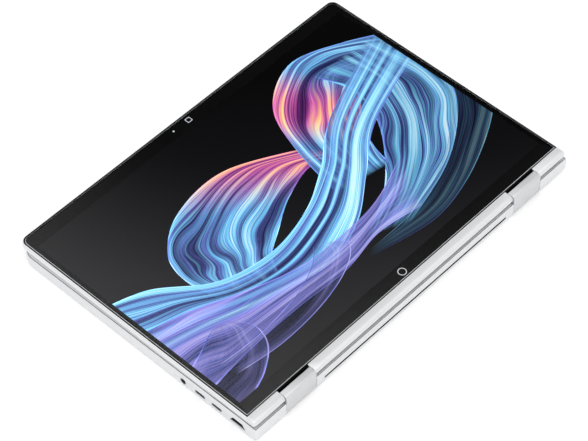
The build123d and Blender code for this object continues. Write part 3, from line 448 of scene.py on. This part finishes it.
# %% Copper, lens and light windows
copper, copper_tree, copper_shader = new_material("tarnished copper", Metallic=1.0, Roughness=0.35)
copper_place = add(copper_tree, "TexCoord").outputs["Object"]
patches = add(copper_tree, "TexNoise", Vector=copper_place, Scale=1000 / 6)
copper_tint = add(copper_tree, "ValToRGB", Fac=patches.outputs["Fac"])
copper_tint.color_ramp.elements[0].color = linear("9a5f45")
copper_tint.color_ramp.elements[1].color = linear("d08e6c")
copper_tree.links.new(copper_tint.outputs["Color"], copper_shader.inputs["Base Color"])
wear(copper, "heat_sink", "heat_pipe")

lens, lens_tree, lens_shader = new_material(
    "coated camera lens with painted sheen", Roughness=0.05, Coat_Weight=1.0, Coat_Tint=linear("9fb4ff")
)
# The base colour turns from near black to violet towards the lens's rim, as the camera sees it: a painted
# reflection of the lens coating.
painted_sheen_facing = add(lens_tree, "LayerWeight", Blend=0.4)
lens_sheen_tint = add(lens_tree, "ValToRGB", Fac=painted_sheen_facing.outputs["Facing"])
lens_sheen_tint.color_ramp.elements[0].color = linear("0a0b14")
lens_sheen_tint.color_ramp.elements[1].color = linear("2c2350")
lens_tree.links.new(lens_sheen_tint.outputs["Color"], lens_shader.inputs["Base Color"])
wear(lens, "webcam_lens")
light_window = moulded("frosted light window", "d9dcd9", 0.45, grain_mm=0.3)
wear(light_window, "status_lights")

# %% [markdown]
# ## Ring mark, camera ring and sensor dot
# Three small marks are printed in silver on the back of the glass: a plain ring in the middle of
# the lower border, a square ring with round corners about the camera's window, and a dot beside
# it over the light sensor. Circles are bridged to make flat rings, which lie just above the black
# print. A circle of four sides that is turned and bevelled makes the square one.


# %% Printed marks
silver_ink = moulded("silver screen print", "c4c6c8", 0.6, grain_mm=0.3, depth_mm=0.001)
bezel_low, bezel_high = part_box("bezel_mask")
lens_low, lens_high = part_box("webcam_lens")


def printed_ring(name, centre, outer_mm, inner_mm, sides=72):
    """A flat ring of ink. With four sides, it is a square ring with round corners."""
    form = bmesh.new()
    for radius in (outer_mm, inner_mm):
        bmesh.ops.create_circle(form, segments=sides, radius=radius * MM)
    if sides == 4:
        bmesh.ops.rotate(form, cent=(0, 0, 0), matrix=Matrix.Rotation(pi / 4, 3, "Z"), verts=form.verts)
        bmesh.ops.bevel(
            form, geom=form.verts[:], offset=0.25 * outer_mm * MM, offset_type="OFFSET", segments=4,
            profile=0.5, affect="VERTICES", material=-1,
        )
    bmesh.ops.bridge_loops(form, edges=form.edges[:])
    bmesh.ops.translate(form, vec=(*centre, bezel_high[2] + 0.01 * MM), verts=form.verts)
    form.normal_update()
    bmesh.ops.reverse_faces(form, faces=[face for face in form.faces if face.normal.z < 0])
    return keep_piece(form, name, silver_ink, "lid")


camera_y = (lens_low[1] + lens_high[1]) / 2
MARK_INSET, SENSOR_X = 5.0 * MM, -15 * MM
printed_ring("ring_mark", (0, bezel_low[1] + MARK_INSET), 3.2, 2.6)
printed_ring("camera_ring", (0, camera_y), 3.1, 2.4, sides=4)
printed_ring("sensor_dot", (SENSOR_X, camera_y), 0.75, 0.1, sides=24)

# %% [markdown]
# ## The lit picture: the dark ground
# The panel is lit from behind, so its picture is light, not paint: black as a surface, with all
# its colour as emission. The ground is nearly black and lifts to a dark grey at one corner, which
# a ramp along the panel's diagonal gives.


# %% Dark ground of the picture
def fill_ramp(ramp_node, stops):
    """Sets a colour ramp from pairs of a place and a colour."""
    ramp = ramp_node.color_ramp
    while len(ramp.elements) < len(stops):
        ramp.elements.new(0.5)
    # All the places come first, because moving a stop can change the order of the stops
    for element, (place, colour) in zip(ramp.elements, stops):
        element.position = place
    for element, (place, colour) in zip(ramp.elements, stops):
        element.color = linear(colour)


panel_low, panel_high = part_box("display_panel")
lit_panel, panel_tree, panel_shader = new_material(
    "backlit display", Base_Color=linear("000000"), Roughness=0.8, Specular_IOR_Level=0.0,
    Emission_Strength=1.0, **BEHIND_GLASS
)
spot = add(panel_tree, "SeparateXYZ", Vector=add(panel_tree, "TexCoord").outputs["Object"])
diagonal = add(panel_tree, "Math", {"operation": "ADD"}, i0=spot.outputs["X"], i1=spot.outputs["Y"])
lift = add(panel_tree, "MapRange", Value=diagonal.outputs["Value"], From_Min=-0.27, From_Max=0.16)
ground = add(panel_tree, "ValToRGB", Fac=lift.outputs["Result"])
fill_ramp(ground, [(0.0, "101011"), (0.4, "1e1e21"), (0.75, "0e0e10"), (1.0, "030304")])
panel_tree.links.new(ground.outputs["Color"], panel_shader.inputs["Emission Color"])
wear(lit_panel, "display_panel")

# %% [markdown]
# ## The lit picture: ribbons of silk
# The picture shows long ribbons of fine glowing threads that fold over each other. It is an
# abstract design, so these ribbons are this lesson's own. Each one is a grid whose points are
# moved between two smooth edge lines, so the grid's own u runs along the threads and v across
# them. Whatever hangs over the screen's edge is cut off with planes, and the ribbons are stacked
# two hundredths of a millimetre apart between the panel and the glass.


# %% Where the picture is, and smooth lines through a few points
SIDE_FRAME, LOW_FRAME, HIGH_FRAME = 1.2 * MM, 6.45 * MM, 1.35 * MM
SHEET_GAP_MM = 0.02
ACTIVE_LOW = (panel_low[0] + SIDE_FRAME, panel_low[1] + LOW_FRAME)
ACTIVE_HIGH = (panel_high[0] - SIDE_FRAME, panel_high[1] - HIGH_FRAME)
print("lit area:", ACTIVE_LOW, ACTIVE_HIGH)


def smooth_line(points, u):
    """The place at u, from 0 to 1, on a smooth curve through all the points."""
    run = u * (len(points) - 1)
    i = min(int(run), len(points) - 2)
    f = run - i
    a, b, c, d = (Vector(points[max(0, min(len(points) - 1, i + step))]) for step in (-1, 0, 1, 2))
    return 0.5 * (2 * b + (c - a) * f + (2 * a - 5 * b + 4 * c - d) * f**2 + (3 * b - a - 3 * c + d) * f**3)


def ribbon(name, material, low_edge, high_edge, layer):
    """A sheet of silk between two edge lines, given in shares of the screen's width and height."""
    form = bmesh.new()
    form.loops.layers.uv.new("UVMap")
    bmesh.ops.create_grid(form, x_segments=96, y_segments=12, size=1, calc_uvs=True)
    size = [high - low for low, high in zip(ACTIVE_LOW, ACTIVE_HIGH)]
    height = panel_high[2] + SHEET_GAP_MM * (1 + layer) * MM
    for vertex in form.verts:
        u, v = (vertex.co.x + 1) / 2, (vertex.co.y + 1) / 2
        spot = smooth_line(low_edge, u).lerp(smooth_line(high_edge, u), v)
        vertex.co = (ACTIVE_LOW[0] + spot.x * size[0], ACTIVE_LOW[1] + spot.y * size[1], height)
    for co, no in (
        ((ACTIVE_LOW[0], 0, 0), (-1, 0, 0)), ((ACTIVE_HIGH[0], 0, 0), (1, 0, 0)),
        ((0, ACTIVE_LOW[1], 0), (0, -1, 0)), ((0, ACTIVE_HIGH[1], 0), (0, 1, 0)),
    ):
        every = form.faces[:] + form.edges[:] + form.verts[:]
        bmesh.ops.bisect_plane(form, geom=every, plane_co=co, plane_no=no, clear_outer=True)
    form.normal_update()
    down = [face for face in form.faces if face.normal.z < 0]
    bmesh.ops.reverse_faces(form, faces=down)
    return keep_piece(form, name, material, "lid", smooth_below=80)


# %% [markdown]
# ## Threads of light
# Seen close, silk in this light is thousands of threads with bright and dark folds. A noise that
# is squeezed across the ribbon and stretched along it gives both: a coarse one for the folds and
# a fine one for the threads. A slow noise bends them so that they never run straight. A ramp
# turns the fold's height into colour, from deep blue to white, and a second, warmer ramp takes
# over near one place along the ribbon, as where light shines through from behind.


# %% The silk's three colour ramps
COOL = [
    (0.28, "101a52"), (0.4, "3a49b8"), (0.5, "7688ea"),
    (0.58, "63c4ec"), (0.68, "c4ecff"), (0.8, "ffffff"),
]
VIOLET = [
    (0.26, "1c2270"), (0.38, "4a58c8"), (0.5, "7d8cf0"),
    (0.6, "a79af2"), (0.68, "c6d2ff"), (0.8, "ffffff"),
]
WARM = [
    (0.28, "3c1f8c"), (0.4, "b44fd8"), (0.5, "f26fc8"),
    (0.58, "ffb08a"), (0.66, "ffdf8a"), (0.76, "9ff0e8"),
]


# %% The silk's light
def silk_light(name, cool, warm_at, warm_width, threads, seed, body=1.0, rim=0.6, glow=1.0):
    material, tree, shader = new_material(
        name, Base_Color=linear("000000"), Roughness=1.0, Specular_IOR_Level=0.0, **BEHIND_GLASS
    )
    axes = add(tree, "SeparateXYZ", Vector=add(tree, "TexCoord").outputs["UV"])
    u, v = axes.outputs["X"], axes.outputs["Y"]
    # The ribbon's width is bent by a slow noise, so that the threads wander
    slow_u = add(tree, "Math", {"operation": "MULTIPLY"}, i0=u, i1=2.4)
    slow_v = add(tree, "Math", {"operation": "MULTIPLY"}, i0=v, i1=1.6)
    slow_way = add(tree, "CombineXYZ", X=slow_u.outputs[0], Y=slow_v.outputs[0], Z=seed)
    bend = add(tree, "TexNoise", Vector=slow_way.outputs["Vector"], Scale=1.0, Detail=1.0)
    across = add(tree, "Math", {"operation": "MULTIPLY_ADD"}, i0=bend.outputs["Fac"], i1=0.5, i2=v)
    # Wide folds, then thin strands: both are noises drawn out along the ribbon
    fold_u = add(tree, "Math", {"operation": "MULTIPLY"}, i0=u, i1=1.1)
    fold_v = add(tree, "Math", {"operation": "MULTIPLY"}, i0=across.outputs[0], i1=threads / 11)
    fold_way = add(tree, "CombineXYZ", X=fold_u.outputs[0], Y=fold_v.outputs[0], Z=seed + 3.0)
    folds = add(tree, "TexNoise", Vector=fold_way.outputs["Vector"], Scale=1.0, Detail=2.0).outputs["Fac"]
    strand_u = add(tree, "Math", {"operation": "MULTIPLY"}, i0=u, i1=0.9)
    strand_v = add(tree, "Math", {"operation": "MULTIPLY"}, i0=across.outputs[0], i1=threads)
    strand_way = add(tree, "CombineXYZ", X=strand_u.outputs[0], Y=strand_v.outputs[0], Z=seed + 7.0)
    strands = add(tree, "TexNoise", Vector=strand_way.outputs["Vector"], Scale=1.0, Detail=3.0).outputs["Fac"]
    # The cold colours follow both noises, the warm ones mostly the folds
    cold_part = add(tree, "Math", {"operation": "MULTIPLY"}, i0=folds, i1=0.55)
    tone = add(tree, "Math", {"operation": "MULTIPLY_ADD"}, i0=strands, i1=0.55, i2=cold_part.outputs[0])
    cold = add(tree, "ValToRGB", Fac=tone.outputs[0])
    fill_ramp(cold, cool)
    hot_part = add(tree, "Math", {"operation": "MULTIPLY"}, i0=folds, i1=0.7)
    hot_tone = add(tree, "Math", {"operation": "MULTIPLY_ADD"}, i0=strands, i1=0.35, i2=hot_part.outputs[0])
    hot = add(tree, "ValToRGB", Fac=hot_tone.outputs[0])
    fill_ramp(hot, WARM)
    past_hot = add(tree, "Math", {"operation": "SUBTRACT"}, i0=u, i1=warm_at)
    from_hot = add(tree, "Math", {"operation": "ABSOLUTE"}, i0=past_hot.outputs[0])
    near_hot = add(
        tree, "MapRange", {"interpolation_type": "SMOOTHSTEP"}, Value=from_hot.outputs[0],
        From_Min=warm_width, From_Max=warm_width * 0.15, To_Min=0.0, To_Max=1.0,
    )
    colour = add(
        tree, "Mix", {"data_type": "RGBA"}, Factor=near_hot.outputs["Result"],
        i6=cold.outputs["Color"], i7=hot.outputs["Color"],
    ).outputs[2]
    # How bright: dark in the valleys between folds, and a light rim along both edges
    fold_light = add(
        tree, "MapRange", {"interpolation_type": "SMOOTHSTEP"}, Value=folds,
        From_Min=0.3, From_Max=0.62, To_Min=0.22 * glow, To_Max=1.15 * glow,
    )
    far_edge = add(tree, "Math", {"operation": "SUBTRACT"}, i0=1.0, i1=v)
    edge = add(tree, "Math", {"operation": "MINIMUM"}, i0=v, i1=far_edge.outputs[0])
    rim_line = add(
        tree, "MapRange", Value=edge.outputs[0], From_Min=0.035, From_Max=0.0, To_Min=0.0, To_Max=rim
    )
    past_line = add(tree, "Math", {"operation": "SUBTRACT"}, i0=strands, i1=0.5)
    near_line = add(tree, "Math", {"operation": "ABSOLUTE"}, i0=past_line.outputs[0])
    thread_line = add(
        tree, "MapRange", Value=near_line.outputs[0], From_Min=0.018, From_Max=0.0,
        To_Min=0.0, To_Max=0.55 * glow,
    )
    two_lights = add(
        tree, "Math", {"operation": "ADD"}, i0=fold_light.outputs["Result"], i1=rim_line.outputs["Result"]
    )
    light = add(
        tree, "Math", {"operation": "ADD"}, i0=two_lights.outputs[0], i1=thread_line.outputs["Result"]
    ).outputs[0]
    # How much it hides: thick where the folds gather, thin between, fading out at both ends
    fade_in = add(tree, "MapRange", Value=u, From_Min=0.0, From_Max=0.06)
    fade_out = add(tree, "MapRange", Value=u, From_Min=1.0, From_Max=0.9)
    ends = add(
        tree, "Math", {"operation": "MULTIPLY"}, i0=fade_in.outputs["Result"], i1=fade_out.outputs["Result"]
    )
    thick = add(
        tree, "MapRange", Value=tone.outputs[0], From_Min=0.38, From_Max=0.56,
        To_Min=0.35 * body, To_Max=body,
    )
    veil = add(
        tree, "Math", {"operation": "ADD", "use_clamp": True},
        i0=thick.outputs["Result"], i1=rim_line.outputs["Result"],
    )
    cover = add(
        tree, "Math", {"operation": "MULTIPLY", "use_clamp": True}, i0=ends.outputs[0], i1=veil.outputs[0]
    ).outputs[0]
    tree.links.new(colour, shader.inputs["Emission Color"])
    tree.links.new(light, shader.inputs["Emission Strength"])
    tree.links.new(cover, shader.inputs["Alpha"])
    return material


# %% The ribbons, from the one at the back to the one in front
back_silk = silk_light("lit silk of the left crest", COOL, 0.12, 0.34, threads=84, seed=2.0)
ribbon(
    "silk_left_crest", back_silk,
    [(0.70, 0.44), (0.60, 0.54), (0.49, 0.50), (0.40, 0.42), (0.34, 0.36), (0.31, 0.28)],
    [(0.62, 0.62), (0.44, 0.76), (0.28, 0.74), (0.18, 0.63), (0.155, 0.50), (0.17, 0.36)], layer=0,
)
right_silk = silk_light("lit silk of the right crest", COOL, 0.40, 0.2, threads=96, seed=11.0)
ribbon(
    "silk_right_crest", right_silk,
    [(0.72, 0.34), (0.74, 0.46), (0.79, 0.58), (0.86, 0.66), (0.94, 0.62), (1.04, 0.50)],
    [(0.57, 0.38), (0.60, 0.62), (0.66, 0.84), (0.79, 0.95), (0.93, 0.88), (1.08, 0.74)], layer=1,
)
fold_silk = silk_light("lit silk of the right fold", COOL, 2.0, 0.1, threads=100, seed=5.0, glow=0.8)
ribbon(
    "silk_right_fold", fold_silk,
    [(0.80, 0.84), (0.83, 0.68), (0.80, 0.52), (0.73, 0.38), (0.64, 0.26), (0.52, 0.17)],
    [(1.03, 0.82), (1.04, 0.62), (1.01, 0.44), (0.93, 0.30), (0.80, 0.18), (0.62, 0.10)], layer=2,
)
bulge_silk = silk_light(
    "thin lit silk of the right bulge", COOL, 2.0, 0.1, threads=40, seed=8.0, body=0.3, rim=0.5, glow=0.4
)
ribbon(
    "silk_right_bulge", bulge_silk,
    [(1.05, 0.60), (0.99, 0.44), (0.91, 0.31), (0.80, 0.20), (0.66, 0.13), (0.50, 0.12)],
    [(1.14, 0.42), (1.04, 0.27), (0.94, 0.17), (0.80, 0.08), (0.66, 0.045), (0.48, 0.10)], layer=3,
)
sweep_silk = silk_light("lit silk of the long sweep", COOL, 2.0, 0.1, threads=80, seed=14.0, glow=1.15)
ribbon(
    "silk_long_sweep", sweep_silk,
    [
        (-0.05, 0.34), (0.10, 0.28), (0.24, 0.22), (0.40, 0.18),
        (0.54, 0.24), (0.66, 0.37), (0.80, 0.52), (1.06, 0.66),
    ],
    [
        (-0.05, 0.64), (0.08, 0.57), (0.20, 0.42), (0.34, 0.37),
        (0.48, 0.41), (0.60, 0.51), (0.74, 0.66), (1.04, 0.84),
    ],
    layer=4,
)
veil_silk = silk_light(
    "thin lit silk of the veil", VIOLET, 2.0, 0.1, threads=46, seed=20.0, body=0.78, rim=0.5, glow=0.95
)
ribbon(
    "silk_veil", veil_silk,
    [(-0.04, 0.10), (0.06, 0.12), (0.16, 0.13), (0.28, 0.13), (0.42, 0.12), (0.55, 0.15), (0.68, 0.12)],
    [(-0.04, 0.46), (0.10, 0.40), (0.22, 0.32), (0.36, 0.25), (0.50, 0.24), (0.62, 0.26), (0.76, 0.34)],
    layer=5,
)
film_silk = silk_light(
    "lit silk film", VIOLET, 2.0, 0.1, threads=24, seed=27.0, body=0.34, rim=0.9, glow=0.6
)
ribbon(
    "silk_film_left", film_silk,
    [(-0.03, -0.06), (0.04, -0.01), (0.10, 0.03), (0.155, 0.10), (0.17, 0.19), (0.14, 0.27)],
    [(-0.05, 0.20), (-0.01, 0.22), (0.03, 0.24), (0.06, 0.26), (0.09, 0.28), (0.12, 0.28)], layer=6,
)
ribbon(
    "silk_film_middle", film_silk,
    [(0.05, 0.09), (0.18, 0.065), (0.32, 0.08), (0.43, 0.13), (0.48, 0.20), (0.44, 0.27)],
    [(0.04, 0.16), (0.16, 0.15), (0.28, 0.17), (0.36, 0.21), (0.40, 0.25), (0.42, 0.28)], layer=7,
)

# %% [markdown]
# ## Studio
# The laptop lies on white paper under a large soft light. A wide panel overhead, a little to the
# camera's side, makes the flat metal almost white and leaves a soft fall of light on the rounds.
# The room is a pale even sky with one dark area low behind the laptop, and the glass reflects
# that dark area, which keeps the screen's contrast.

# %% White paper floor
floor_form = bmesh.new()
bmesh.ops.create_grid(floor_form, x_segments=1, y_segments=1, size=6)
floor_mesh = bpy.data.meshes.new("studio_floor")
floor_form.to_mesh(floor_mesh)
floor_form.free()
floor = bpy.data.objects.new("studio_floor", floor_mesh)
bpy.context.collection.objects.link(floor)
paper, _, _ = new_material("white studio paper", Base_Color=linear("ffffff"), Roughness=0.9)
floor_mesh.materials.append(paper)

# %% Soft light overhead
PANEL_SIZE = 2.0
panel_light = bpy.data.lights.new("overhead_panel", "AREA")
panel_light.shape = "SQUARE"
panel_light.size = PANEL_SIZE
panel_light.energy = 9  # watts
overhead = bpy.data.objects.new("overhead_panel", panel_light)
overhead.location = (-0.45, -0.45, 1.7)
overhead.rotation_euler = (Vector((0, 0, 0)) - overhead.location).to_track_quat("-Z", "Y").to_euler()
bpy.context.collection.objects.link(overhead)

# %% Pale sky with one dark area
world = bpy.data.worlds.new("studio")
bpy.context.scene.world = world
world.use_nodes = True
sky = world.node_tree
dark_way = Vector((0.52, 0.46, 0.61)).normalized()  # where the glass, seen by the camera, reflects
toward = add(
    sky, "VectorMath", {"operation": "DOT_PRODUCT"}, i0=add(sky, "TexCoord").outputs["Generated"], i1=dark_way
)
strength = add(
    sky, "MapRange", {"interpolation_type": "SMOOTHSTEP"}, Value=toward.outputs["Value"],
    From_Min=cos(radians(14)), From_Max=cos(radians(8)), To_Min=1.0, To_Max=0.04,
)
sky.links.new(strength.outputs["Result"], sky.nodes["Background"].inputs["Strength"])
sky.nodes["Background"].inputs["Color"].default_value = (1, 1, 1, 1)

# %% [markdown]
# ## Camera
# The camera stands high at one corner and looks down at the screen with a long lens, so parallel
# edges stay nearly parallel.

# %% Camera
AZIMUTH, ELEVATION = radians(47.03), radians(50.38)
DISTANCE = 1.597
LENS = 144.2
AIM = Vector((-0.0173, -0.0136, 0.0184))
sight = Vector((sin(AZIMUTH) * cos(ELEVATION), cos(AZIMUTH) * cos(ELEVATION), -sin(ELEVATION)))
camera_data = bpy.data.cameras.new("camera")
camera_data.lens = LENS
camera = bpy.data.objects.new("camera", camera_data)
camera.location = AIM - sight * DISTANCE
camera.rotation_euler = sight.to_track_quat("-Z", "Y").to_euler()
bpy.context.collection.objects.link(camera)
bpy.context.scene.camera = camera
print("camera at", [round(c, 3) for c in camera.location])
